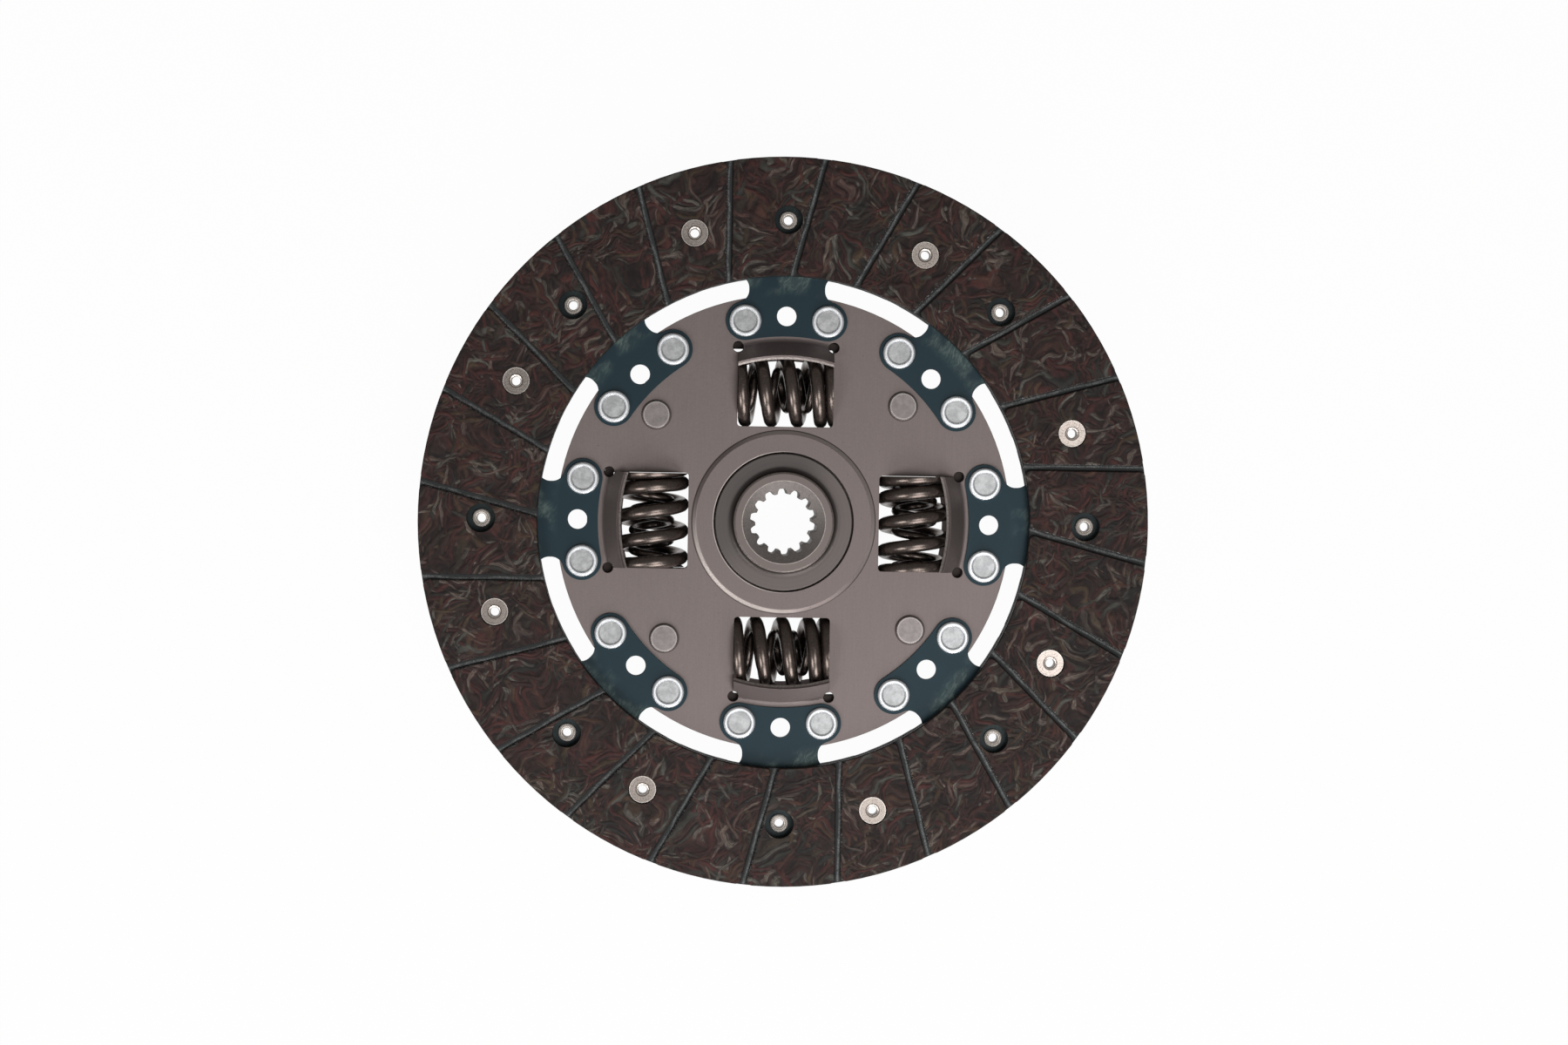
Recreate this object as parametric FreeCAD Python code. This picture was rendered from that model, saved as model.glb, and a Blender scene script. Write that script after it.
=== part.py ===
import FreeCAD, Part
import math
import os

from FreeCAD import Vector

# Dry clutch disc with a sprung hub, in millimetres and degrees.
# The origin is on the hub's axis, halfway between the two friction faces.
# +Z points to the flywheel, -Z to the gearbox, where the long end of the hub is.
# Angles run counterclockwise from +X, seen from +Z.

# Friction facings: one ring, used twice, the rear one turned over
facing_outer_d = 215.0
facing_inner_d = 145.0
facing_thickness = 3.5
facing_edge_chamfer = 0.3
groove_count = 24
groove_width = 1.7
groove_depth = 1.2
groove_offset = 17.4
groove_corner_r = 1.6

# Facing rivets: tubular, each holds one facing to a cushion segment
facing_rivet_circle_d = 178.0
facing_rivet_step = 18.0
facing_rivet_head_d = 8.3
facing_rivet_head_h = 1.1
facing_rivet_shank_d = 3.9
facing_rivet_bore_d = 2.7
facing_rivet_collar_d = 5.3
facing_rivet_collar_h = 1.3
facing_rivet_flare = 0.5
facing_under_head = 1.5
rivet_hole_clearance = 0.2
access_hole_d = 8.5

# Cushion segments: thin wavy springs between the facings
segment_count = 8
segment_thickness = 0.7
segment_wave = 0.7
segment_neck_width = 22.4
segment_neck_r = 74.2
segment_fan_outer_r = 106.4
segment_fan_start = -13.2
segment_fan_end = 31.2
segment_ear_r = 5.76
segment_ear_fillet_r = 3.66
segment_fan_fillet_r = 3.66
segment_hole_d = 5.8
segment_hole_r = 60.8
wave_fold_width = 6.0
wave_fold_1 = -30.0
wave_fold_2 = 6.0
wave_fold_3 = 28.0

# Segment rivets: two to a segment
segment_rivet_circle_d = 121.2
segment_rivet_angle = 11.6
segment_rivet_shank_d = 5.0
segment_rivet_head_d = 9.48
segment_rivet_head_h = 1.5
segment_rivet_dish_d = 6.6
segment_rivet_dish_depth = 0.45
segment_rivet_tail_d = 8.2
segment_rivet_tail_h = 1.3

# Damper plates: front one carries the segments, rear one closes the damper
plate_thickness = 1.6
front_plate_d = 134.2
rear_plate_d = 116.6
plate_gap = 7.9
plate_hole_d = 41.5
plate_raised_d = 54.6
plate_raised_slope = 1.3
front_plate_raise = 0.6
rear_plate_raise = 1.4

# Spring windows and the curved lips that hold the springs in
window_count = 4
window_length = 28.3
window_inner_r = 28.2
window_corner_r = 1.0
lip_root_r = 54.3
lip_tip_r = 48.0
lip_angle = 47.0
lip_bend_r = 1.5
relief_hole_d = 3.2
relief_hole_r = 51.7

# Damper springs: a small spring inside a large one, in each window
spring_circle_r = 39.0
spring_end_clearance = 0.3
outer_spring_d = 22.0
outer_spring_wire = 4.0
outer_spring_turns = 4.95
outer_spring_closed = (0.8, 1.4)
inner_spring_d = 13.6
inner_spring_wire = 2.5
inner_spring_turns = 6.3
inner_spring_closed = (1.1, 1.1)
spring_closed_pitch = 1.025
spring_pitch_blend = 0.2
spring_tip_share = 0.18
spring_start_turn = 0.54
spring_turned = (False, True, True, False)
spring_roll = (0.0, 12.0, 54.0, 18.0)

# Stop pins: shouldered rivets that space the plates and limit the twist
stop_pin_circle_d = 98.4
stop_pin_angles = (45.0, 140.6, 225.0, 320.4)
stop_pin_body_d = 9.0
stop_pin_shank_d = 6.0
stop_pin_head_d = 8.36
stop_pin_head_h = 1.2
stop_pin_head_edge_r = 0.35
stop_pin_gap = 0.4
twist_limit = 8.0

# Hub
hub_boss_d = 29.6
hub_front_z = 3.0
hub_rear_z = -20.0
hub_flange_d = 110.0
hub_flange_thickness = 5.4
hub_window_inner_r = 27.2
hub_window_outer_r = 50.5
hub_window_corner_r = 0.5
hub_late_windows = (1, 3)
hub_late_play = 2.2
hub_late_rise = 0.7
hub_notch_corner_r = 2.5
hub_journal_gap = 0.4
hub_journal_drop = 0.2
hub_journal_fillet_r = 1.6
hub_rear_journal_d = 35.0
hub_edge_chamfer = 0.45
hub_bore_mouth_d = 24.4
hub_bore_mouth_depth = 1.5

# Splined bore
spline_count = 14
spline_root_d = 19.86
spline_tip_d = 16.8
spline_space_tip_width = 2.7
spline_space_root_width = 1.5
spline_flank_bulge = 0.14
spline_root_fillet_r = 0.42
spline_tip_fillet_r = 0.3
spline_turn = 16.5

# Friction pack between the hub flange and the plates
friction_ring_inner_d = 41.8
friction_ring_outer_d = 52.0
friction_ring_clearance = 0.25
rear_friction_thickness = 1.0
support_thickness = 0.7
cup_spring_thickness = 0.5
bush_gap = 0.25
bush_fit = 0.1
bush_collar_d = 45.0
bush_collar_h = 1.0
bush_end_gap = 0.4

# Levels along the axis, worked out from the stack of sheets
facing_back_z = (segment_thickness + segment_wave) / 2
facing_front_z = facing_back_z + facing_thickness
segment_low_z = -facing_back_z
segment_seat_z = segment_low_z + segment_thickness
front_plate_z = segment_low_z
front_plate_back_z = front_plate_z - plate_thickness
spring_plane_z = front_plate_back_z - plate_gap / 2
rear_plate_z = front_plate_back_z - plate_gap
rear_plate_back_z = rear_plate_z - plate_thickness
flange_front_z = spring_plane_z + hub_flange_thickness / 2
flange_rear_z = spring_plane_z - hub_flange_thickness / 2
journal_front_z = front_plate_z + front_plate_raise - hub_journal_drop
pocket_front_z = front_plate_back_z + front_plate_raise
pocket_rear_z = rear_plate_z - rear_plate_raise
segment_pitch = 360.0 / segment_count
window_pitch = 360.0 / window_count
tall = facing_outer_d

axis_z = Vector(0, 0, 1)
origin = Vector(0, 0, 0)


def polar(radius, angle, z=0.0):
    turn = math.radians(angle)
    return Vector(radius * math.cos(turn), radius * math.sin(turn), z)


def turned(shape, angle):
    copy = shape.copy()
    copy.rotate(origin, axis_z, angle)
    return copy


def around(shape, angles):
    return [turned(shape, angle) for angle in angles]


def ring(inner_r, outer_r, bottom, top):
    outside = Part.makeCylinder(outer_r, top - bottom, Vector(0, 0, bottom))
    inside = Part.makeCylinder(inner_r, top - bottom, Vector(0, 0, bottom))
    return outside.cut(inside)


def hole(diameter, x, y, bottom=-tall, top=tall):
    return Part.makeCylinder(diameter / 2, top - bottom, Vector(x, y, bottom))


def hole_at(diameter, radius, angle, bottom=-tall, top=tall):
    centre = polar(radius, angle)
    return hole(diameter, centre.x, centre.y, bottom, top)


def slab(x0, x1, half_width, bottom=-tall, top=tall):
    return Part.makeBox(x1 - x0, 2 * half_width, top - bottom, Vector(x0, -half_width, bottom))


def sector(inner_r, outer_r, start, end, bottom=-tall, top=tall):
    edges = [
        Part.makeLine(polar(inner_r, start, bottom), polar(outer_r, start, bottom)),
        Part.Arc(
            polar(outer_r, start, bottom),
            polar(outer_r, (start + end) / 2, bottom),
            polar(outer_r, end, bottom),
        ).toShape(),
        Part.makeLine(polar(outer_r, end, bottom), polar(inner_r, end, bottom)),
        Part.Arc(
            polar(inner_r, end, bottom),
            polar(inner_r, (start + end) / 2, bottom),
            polar(inner_r, start, bottom),
        ).toShape(),
    ]
    return Part.Face(Part.Wire(edges)).extrude(Vector(0, 0, top - bottom))


def turned_section(points):
    """A solid of revolution about Z from its (radius, height) outline."""
    corners = [Vector(radius, 0, height) for radius, height in points]
    outline = Part.makePolygon(corners + corners[:1])
    return Part.Face(outline).revolve(origin, axis_z, 360)


def upright_edges(shape, test):
    """Edges parallel to Z whose place passes the test."""
    found = []
    for edge in shape.Edges:
        if len(edge.Vertexes) != 2:
            continue
        start, end = edge.Vertexes[0].Point, edge.Vertexes[1].Point
        if math.hypot(start.x - end.x, start.y - end.y) < 1e-4 and test(start.x, start.y):
            found.append(edge)
    return found


# Friction facings


def groove_lines():
    return [index * 360.0 / groove_count for index in range(groove_count)]


def facing_pad():
    """One raised pad, between two neighbouring grooves, with rounded corners."""
    outer_r = facing_outer_d / 2
    inner_r = facing_inner_d / 2
    step = 360.0 / groove_count
    bottom = facing_front_z - groove_depth
    layer = ring(inner_r, outer_r, bottom, facing_front_z)
    below = slab(0, outer_r * 2, outer_r, bottom, facing_front_z)
    below.translate(Vector(0, groove_offset + groove_width / 2 + outer_r, 0))
    above = slab(0, outer_r * 2, outer_r, bottom, facing_front_z)
    above.translate(Vector(0, groove_offset - groove_width / 2 - outer_r, 0))
    pad = layer.common(below).common(turned(above, step))
    pad = pad.makeFillet(groove_corner_r, upright_edges(pad, lambda x, y: True))
    rims = [e for e in pad.Edges if all(abs(v.Z - facing_front_z) < 1e-4 for v in e.Vertexes)]
    return pad.makeChamfer(facing_edge_chamfer, rims)


def facing():
    """The ring as it lies on the front, with head seats at one rivet and free holes at the other."""
    outer_r = facing_outer_d / 2
    inner_r = facing_inner_d / 2
    rivet_r = facing_rivet_circle_d / 2
    body = ring(inner_r, outer_r, facing_back_z, facing_front_z - groove_depth)
    body = body.fuse(around(facing_pad(), groove_lines())).removeSplitter()
    cuts = []
    for index in range(segment_count):
        free = index * segment_pitch
        seat = free + facing_rivet_step
        cuts.append(hole_at(access_hole_d, rivet_r, free))
        cuts.append(hole_at(facing_rivet_shank_d + rivet_hole_clearance, rivet_r, seat))
        head_d = facing_rivet_head_d + rivet_hole_clearance
        cuts.append(hole_at(head_d, rivet_r, seat, facing_back_z + facing_under_head))
    return body.cut(cuts)


def turned_over(shape):
    """The same piece mounted on the rear side, where seats and free holes change places."""
    copy = shape.copy()
    copy.rotate(origin, Vector(1, 0, 0), 180)
    return turned(copy, facing_rivet_step)


def facing_rivet():
    """A tubular rivet: flat head in the facing, rolled collar on the segment's other side."""
    head_r = facing_rivet_head_d / 2
    shank_r = facing_rivet_shank_d / 2
    bore_r = facing_rivet_bore_d / 2
    collar_r = facing_rivet_collar_d / 2
    head_bottom = facing_back_z + facing_under_head
    head_top = head_bottom + facing_rivet_head_h
    seat = facing_back_z - segment_thickness
    end = seat - facing_rivet_collar_h
    curl = facing_rivet_collar_h * 0.35
    return turned_section([
        (bore_r, head_top - facing_rivet_flare / 2),
        (bore_r + facing_rivet_flare, head_top),
        (head_r - 0.2, head_top),
        (head_r, head_top - 0.2),
        (head_r, head_bottom),
        (shank_r, head_bottom),
        (shank_r, seat),
        (collar_r - curl / 2, seat),
        (collar_r, seat - curl),
        (collar_r - 0.1, end + curl),
        (collar_r - curl, end),
        (bore_r + facing_rivet_flare, end),
        (bore_r, end + facing_rivet_flare),
    ])


def front_facing_rivets():
    rivet = facing_rivet()
    rivet.translate(polar(facing_rivet_circle_d / 2, facing_rivet_step))
    return around(rivet, [index * segment_pitch for index in range(segment_count)])


# Cushion segments


def segment_outline():
    """A tall prism with the segment's plan: two ears, a neck and a wide fan."""
    rivet_r = segment_rivet_circle_d / 2
    half_neck = segment_neck_width / 2
    ear = polar(rivet_r, segment_rivet_angle)
    ear_end = ear.x + math.sqrt(segment_ear_r ** 2 - (ear.y - half_neck) ** 2)
    fan_start = math.sqrt(segment_neck_r ** 2 - half_neck ** 2)
    middle = (ear_end + fan_start) / 2
    room = (fan_start - ear_end - 1) / 2
    foot = sector(rivet_r - segment_ear_r, rivet_r, -segment_rivet_angle, segment_rivet_angle)
    for side in (-1, 1):
        foot = foot.fuse(hole_at(2 * segment_ear_r, rivet_r, side * segment_rivet_angle))
    foot = foot.fuse(slab(rivet_r - segment_ear_r / 2, segment_neck_r + segment_fan_fillet_r, half_neck))
    fan = sector(segment_neck_r, segment_fan_outer_r, segment_fan_start, segment_fan_end)
    plan = foot.fuse(fan).removeSplitter()
    if room < 0.2:
        return plan

    def at_ears(x, y):
        return abs(abs(y) - half_neck) < 1e-3 and ear.x < x < middle

    def at_fan(x, y):
        return abs(abs(y) - half_neck) < 1e-3 and x > middle

    plan = plan.makeFillet(min(segment_ear_fillet_r, room), upright_edges(plan, at_ears))
    return plan.makeFillet(min(segment_fan_fillet_r, room), upright_edges(plan, at_fan))


def wavy_sheet():
    """The folded strip that the fan is cut from; its folds run along the fan's middle line."""
    low, high = segment_low_z, segment_low_z + segment_wave
    far = segment_fan_outer_r
    levels = [high, high, low, low, high, high, low, low]
    half_fold = wave_fold_width / 2
    across = [-far]
    for middle in (wave_fold_1, wave_fold_2, wave_fold_3):
        across += [middle - half_fold, middle + half_fold]
    across.append(far)
    under = list(zip(across, levels))
    over = [(place, level + segment_thickness) for place, level in reversed(under)]
    outline = [Vector(0, place, level) for place, level in under + over]
    strip = Part.Face(Part.makePolygon(outline + outline[:1])).extrude(Vector(far * 1.2, 0, 0))
    return turned(strip, facing_rivet_step / 2)


def cushion_segment():
    flat = ring(0.1, segment_neck_r, segment_low_z, segment_low_z + segment_thickness)
    fan = wavy_sheet().cut(Part.makeCylinder(segment_neck_r, 2 * tall, Vector(0, 0, -tall)))
    plan = segment_outline()
    sheet = plan.common(flat).fuse(plan.common(fan)).removeSplitter()
    rivet_d = segment_rivet_shank_d + rivet_hole_clearance
    shank_d = facing_rivet_shank_d + rivet_hole_clearance
    cuts = [hole(segment_hole_d, segment_hole_r, 0)]
    for side in (-1, 1):
        cuts.append(hole_at(rivet_d, segment_rivet_circle_d / 2, side * segment_rivet_angle))
    for angle in (0, facing_rivet_step):
        cuts.append(hole_at(shank_d, facing_rivet_circle_d / 2, angle))
    return sheet.cut(cuts)


def segment_rivet_places():
    places = []
    for index in range(segment_count):
        for side in (-1, 1):
            places.append(index * segment_pitch + side * segment_rivet_angle)
    return places


def segment_rivet():
    """A rivet with a dished head on the segment and a plain formed tail behind the plate."""
    head_r = segment_rivet_head_d / 2
    dish_r = segment_rivet_dish_d / 2
    shank_r = segment_rivet_shank_d / 2
    tail_r = segment_rivet_tail_d / 2
    seat = segment_seat_z
    top = seat + segment_rivet_head_h
    back = front_plate_back_z
    tail = back - segment_rivet_tail_h
    rivet = turned_section([
        (0, top - segment_rivet_dish_depth),
        (dish_r, top - segment_rivet_dish_depth),
        (dish_r + 0.35, top),
        (head_r - 0.55, top),
        (head_r - 0.15, top - 0.3),
        (head_r, top - 0.75),
        (head_r, seat),
        (shank_r, seat),
        (shank_r, back),
        (tail_r, back),
        (tail_r, tail + 0.5),
        (tail_r - 0.5, tail),
        (0, tail),
    ])
    rivet.translate(Vector(segment_rivet_circle_d / 2, 0, 0))
    return rivet


# Damper plates


def window_opening(inner_r, outer_r, corner_r):
    """A straight-sided window whose outer end follows the disc's curve."""
    half = window_length / 2
    block = slab(inner_r, tall, half)
    block = block.makeFillet(corner_r, upright_edges(block, lambda x, y: x < inner_r + 1))
    return block.common(Part.makeCylinder(outer_r, 2 * tall, Vector(0, 0, -tall)))


def spring_lip():
    """The sheet beyond a window, bent up and inwards over the spring."""
    lean = math.radians(lip_angle)
    centre = Vector(lip_root_r, 0, front_plate_z + lip_bend_r)
    back_r = lip_bend_r + plate_thickness
    run = (lip_root_r - back_r * math.sin(lean) - lip_tip_r) / math.cos(lean)
    along = Vector(-math.cos(lean), 0, math.sin(lean)) * run

    def bend(radius, angle):
        return centre + Vector(-math.sin(angle), 0, -math.cos(angle)) * radius

    front = [bend(lip_bend_r, share * lean) for share in (0, 0.5, 1)]
    back = [bend(back_r, share * lean) for share in (1, 0.5, 0)]
    outline = Part.Wire([
        Part.Arc(*front).toShape(),
        Part.makeLine(front[2], front[2] + along),
        Part.makeLine(front[2] + along, back[0] + along),
        Part.makeLine(back[0] + along, back[0]),
        Part.Arc(*back).toShape(),
        Part.makeLine(back[2], front[0]),
    ])
    spread = math.degrees(math.asin(window_length / 2 / lip_tip_r)) + 3
    face = Part.Face(outline)
    face.rotate(origin, axis_z, -spread)
    lip = face.revolve(origin, axis_z, 2 * spread)
    return lip.common(slab(0, facing_outer_d, window_length / 2))


def damper_plate(outer_d, raised):
    """A plate as it lies on the front: raised centre, windows, lips and stop-pin holes."""
    hole_r = plate_hole_d / 2
    foot_r = plate_raised_d / 2
    top_r = foot_r - plate_raised_slope
    pocket_r = friction_ring_outer_d / 2 + friction_ring_clearance
    back = front_plate_back_z
    front = front_plate_z
    plate = turned_section([
        (hole_r, back + raised),
        (pocket_r, back + raised),
        (pocket_r + plate_raised_slope / 2, back),
        (outer_d / 2, back),
        (outer_d / 2, front),
        (foot_r, front),
        (top_r, front + raised),
        (hole_r, front + raised),
    ])
    window = window_opening(window_inner_r, lip_root_r, window_corner_r)
    windows = [index * window_pitch for index in range(window_count)]
    plate = plate.cut(around(window, windows))
    plate = plate.fuse(around(spring_lip(), windows))
    reliefs = [hole(relief_hole_d, relief_hole_r, side * window_length / 2) for side in (-1, 1)]
    cuts = []
    for relief in reliefs:
        cuts.extend(around(relief, windows))
    pin_d = stop_pin_shank_d + rivet_hole_clearance
    for angle in stop_pin_angles:
        cuts.append(hole_at(pin_d, stop_pin_circle_d / 2, angle))
    return plate.cut(cuts)


def front_plate():
    plate = damper_plate(front_plate_d, front_plate_raise)
    rivet_d = segment_rivet_shank_d + rivet_hole_clearance
    cuts = around(hole(rivet_d, segment_rivet_circle_d / 2, 0), segment_rivet_places())
    for index in range(segment_count):
        cuts.append(hole_at(segment_hole_d, segment_hole_r, index * segment_pitch))
    return plate.cut(cuts)


def rear_plate():
    plate = damper_plate(rear_plate_d, rear_plate_raise)
    return plate.mirror(Vector(0, 0, spring_plane_z), axis_z)


def stop_pin():
    head_r = stop_pin_head_d / 2
    shank_r = stop_pin_shank_d / 2
    body_r = stop_pin_body_d / 2
    edge = stop_pin_head_edge_r
    front = front_plate_z + stop_pin_head_h
    rear = rear_plate_back_z - stop_pin_head_h
    pin = turned_section([
        (0, front),
        (head_r - edge, front),
        (head_r, front - edge),
        (head_r, front_plate_z),
        (shank_r, front_plate_z),
        (shank_r, front_plate_back_z),
        (body_r, front_plate_back_z),
        (body_r, rear_plate_z),
        (shank_r, rear_plate_z),
        (shank_r, rear_plate_back_z),
        (head_r, rear_plate_back_z),
        (head_r, rear + edge),
        (head_r - edge, rear),
        (0, rear),
    ])
    pin.translate(Vector(stop_pin_circle_d / 2, 0, 0))
    return pin


# Damper springs


def bent_wire(start, heading, end, radius):
    """Round wire along the arc that leaves start along heading and passes through end."""
    chord = end - start
    inwards = (chord - heading * chord.dot(heading)).normalize()
    turn = 2 * math.atan2(chord.dot(inwards), chord.dot(heading))
    centre = start + inwards * (chord.Length / 2 / math.sin(turn / 2))
    section = Part.Face(Part.Wire([Part.Circle(start, heading, radius).toShape()]))
    wire = section.revolve(centre, heading.cross(inwards), math.degrees(turn))
    return wire, heading * math.cos(turn) + inwards * math.sin(turn)


def arcs_meet(start, leave, end, arrive):
    """Where two tangent arcs meet that leave start and arrive at end in the given directions."""
    chord = end - start
    bend = 2 * (1 - leave.dot(arrive))
    lean = chord.dot(leave + arrive)
    reach = (math.sqrt(lean ** 2 + bend * chord.dot(chord)) - lean) / bend
    return (start + leave * reach + end - arrive * reach) * 0.5


def helical_spring(outer_d, wire, turns, closed, hand):
    """A compression spring along Y with closed ends, ground flat to the window's length."""
    length = window_length - spring_end_clearance
    coil_r = (outer_d - wire) / 2
    closed_pitch = wire * spring_closed_pitch
    travel = length + wire * (1 - 2 * spring_tip_share)
    open_pitch = (travel - sum(closed) * closed_pitch) / (turns - sum(closed))

    def advance(turn):
        first = min(turn, closed[0]) * closed_pitch
        middle = max(0, min(turn, turns - closed[1]) - closed[0]) * open_pitch
        last = max(0, turn - (turns - closed[1])) * closed_pitch
        return first + middle + last - travel / 2

    def eased(turn):
        reach = min(spring_pitch_blend, turn, turns - turn)
        return (advance(turn - reach) + 2 * advance(turn) + advance(turn + reach)) / 4

    def on_coil(turn):
        """The wire's centre and direction after so many turns."""
        angle = hand * 2 * math.pi * (turn - spring_start_turn)
        before, after = max(0, turn - 0.01), min(turns, turn + 0.01)
        rise = (eased(after) - eased(before)) / (after - before)
        run = hand * 2 * math.pi * coil_r
        place = Vector(coil_r * math.sin(angle), eased(turn), coil_r * math.cos(angle))
        return place, Vector(run * math.cos(angle), rise, -run * math.sin(angle)).normalize()

    spans = math.ceil(turns * 2)
    coil = []
    for index in range(spans):
        start, leave = on_coil(turns * index / spans)
        end, arrive = on_coil(turns * (index + 1) / spans)
        middle = arcs_meet(start, leave, end, arrive)
        first, heading = bent_wire(start, leave, middle, wire / 2)
        second, heading = bent_wire(middle, heading, end, wire / 2)
        coil += [first, second]
    ground = [
        Part.makeBox(outer_d * 2, wire * 2, outer_d * 2, Vector(-outer_d, place, -outer_d))
        for place in (-length / 2 - wire * 2, length / 2)
    ]
    return coil[0].fuse(coil[1:]).cut(ground)


def placed_spring(spring, index):
    copy = spring.copy()
    copy.rotate(origin, Vector(0, 1, 0), -spring_roll[index % len(spring_roll)])
    if spring_turned[index % len(spring_turned)]:
        copy.rotate(origin, axis_z, 180)
    copy.translate(Vector(spring_circle_r, 0, spring_plane_z))
    return turned(copy, index * window_pitch)


# Hub


def spline_cutter(bottom, top):
    """The splined bore: a round core with curved-flank tooth spaces around it."""
    tip_r = spline_tip_d / 2
    root_r = spline_root_d / 2
    inside = tip_r - 0.6
    half_tip = spline_space_tip_width / 2
    half_root = spline_space_root_width / 2
    root_x = math.sqrt(root_r ** 2 - half_root ** 2)
    low = Vector(0, 0, bottom)
    right = [
        Vector(tip_r, -half_tip, 0),
        Vector((tip_r + root_x) / 2, -(half_tip + half_root) / 2 - spline_flank_bulge, 0),
        Vector(root_x, -half_root, 0),
    ]
    left = [Vector(point.x, -point.y, 0) for point in reversed(right)]
    outline = Part.Wire([
        Part.makeLine(Vector(inside, -half_tip, 0), right[0]),
        Part.Arc(*right).toShape(),
        Part.Arc(right[2], Vector(root_r, 0, 0), left[0]).toShape(),
        Part.Arc(*left).toShape(),
        Part.makeLine(left[2], Vector(inside, half_tip, 0)),
        Part.makeLine(Vector(inside, half_tip, 0), Vector(inside, -half_tip, 0)),
    ])
    space = Part.Face(outline).extrude(Vector(0, 0, top - bottom))
    space.translate(low)
    roots = upright_edges(space, lambda x, y: x > root_x - 0.01)
    space = space.makeFillet(spline_root_fillet_r, roots)
    core = Part.makeCylinder(tip_r, top - bottom, low)
    angles = [spline_turn + index * 360.0 / spline_count for index in range(spline_count)]
    cutter = core.fuse(around(space, angles)).removeSplitter()
    tips = upright_edges(cutter, lambda x, y: math.hypot(x, y) < tip_r + 0.12)
    return cutter.makeFillet(spline_tip_fillet_r, tips)


def stop_notch():
    """The open slot in the flange's rim that a stop pin swings in."""
    pin_circle_r = stop_pin_circle_d / 2
    reach = stop_pin_body_d / 2 + stop_pin_gap
    floor_r = pin_circle_r - reach
    half = twist_limit + math.degrees(math.asin(reach / pin_circle_r))
    notch = sector(floor_r, hub_flange_d, -half, half)
    corners = upright_edges(notch, lambda x, y: math.hypot(x, y) < floor_r + 1)
    return notch.makeFillet(hub_notch_corner_r, corners)


def hub_window(play, rise):
    """A flange window; one whose spring works late has play at its far end and is taller."""
    half = window_length / 2
    length = window_length + play
    depth = hub_window_outer_r + rise - hub_window_inner_r
    block = Part.makeBox(depth, length, 2 * tall, Vector(hub_window_inner_r, -half, -tall))
    return block.makeFillet(hub_window_corner_r, upright_edges(block, lambda x, y: True))


def hub():
    boss_r = hub_boss_d / 2
    journal_r = plate_hole_d / 2 - hub_journal_gap
    rear_journal_r = hub_rear_journal_d / 2
    edge = hub_edge_chamfer
    fillet = hub_journal_fillet_r
    rear_journal_z = rear_plate_back_z - rear_plate_raise - bush_collar_h - bush_end_gap
    profile = [
        (0, hub_front_z),
        (boss_r - edge, hub_front_z),
        (boss_r, hub_front_z - edge),
        (boss_r, journal_front_z),
        (journal_r - edge / 2, journal_front_z),
        (journal_r, journal_front_z - edge / 2),
        (journal_r, flange_front_z),
        (hub_flange_d / 2, flange_front_z),
        (hub_flange_d / 2, flange_rear_z),
        (rear_journal_r, flange_rear_z),
        (rear_journal_r, rear_journal_z + edge),
        (rear_journal_r - edge, rear_journal_z),
        (boss_r, rear_journal_z),
        (boss_r, hub_rear_z + edge),
        (boss_r - edge, hub_rear_z),
        (0, hub_rear_z),
    ]
    body = turned_section(profile)
    inner_corners = []
    for edge_line in body.Edges:
        curve = edge_line.Curve
        if not isinstance(curve, Part.Circle) or abs(curve.Radius - boss_r) > 1e-4:
            continue
        if abs(curve.Center.z - journal_front_z) < 1e-4 or abs(curve.Center.z - rear_journal_z) < 1e-4:
            inner_corners.append(edge_line)
    body = body.makeFillet(fillet, inner_corners)
    cuts = []
    for index in range(window_count):
        late = index in hub_late_windows
        window = hub_window(hub_late_play, hub_late_rise) if late else hub_window(0, 0)
        cuts.append(turned(window, index * window_pitch))
    cuts += around(stop_notch(), stop_pin_angles)
    cuts.append(spline_cutter(hub_rear_z - 1, hub_front_z + 1))
    mouth_r = hub_bore_mouth_d / 2
    depth = hub_bore_mouth_depth
    tip_r = spline_tip_d / 2
    cuts.append(Part.makeCone(tip_r, mouth_r, depth, Vector(0, 0, hub_front_z - depth)))
    cuts.append(Part.makeCone(mouth_r, tip_r, depth, Vector(0, 0, hub_rear_z)))
    return body.cut(cuts)


# Friction pack


def friction_ring(bottom, top):
    edge = min(0.2, (top - bottom) / 4)
    inner_r = friction_ring_inner_d / 2
    outer_r = friction_ring_outer_d / 2
    return turned_section([
        (inner_r, bottom + edge),
        (inner_r + edge, bottom),
        (outer_r - edge, bottom),
        (outer_r, bottom + edge),
        (outer_r, top - edge),
        (outer_r - edge, top),
        (inner_r + edge, top),
        (inner_r, top - edge),
    ])


def cup_spring(top):
    """A coned washer: inner edge on the support washer, outer edge on the rear plate."""
    inner_r = friction_ring_inner_d / 2
    outer_r = friction_ring_outer_d / 2
    return turned_section([
        (inner_r, top),
        (outer_r, pocket_rear_z + cup_spring_thickness),
        (outer_r, pocket_rear_z),
        (inner_r, top - cup_spring_thickness),
    ])


def centring_bush():
    """The moulded bush in the rear plate's hole, running on the hub's rear journal."""
    bore_r = hub_rear_journal_d / 2 + bush_gap
    sleeve_r = plate_hole_d / 2 - bush_fit
    outside = rear_plate_back_z - rear_plate_raise
    sleeve_front = flange_rear_z - bush_gap
    return turned_section([
        (bore_r, sleeve_front),
        (sleeve_r, sleeve_front),
        (sleeve_r, outside),
        (bush_collar_d / 2, outside),
        (bush_collar_d / 2, outside - bush_collar_h + 0.3),
        (bush_collar_d / 2 - 0.3, outside - bush_collar_h),
        (bore_r + 0.3, outside - bush_collar_h),
        (bore_r, outside - bush_collar_h + 0.3),
    ])


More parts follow.
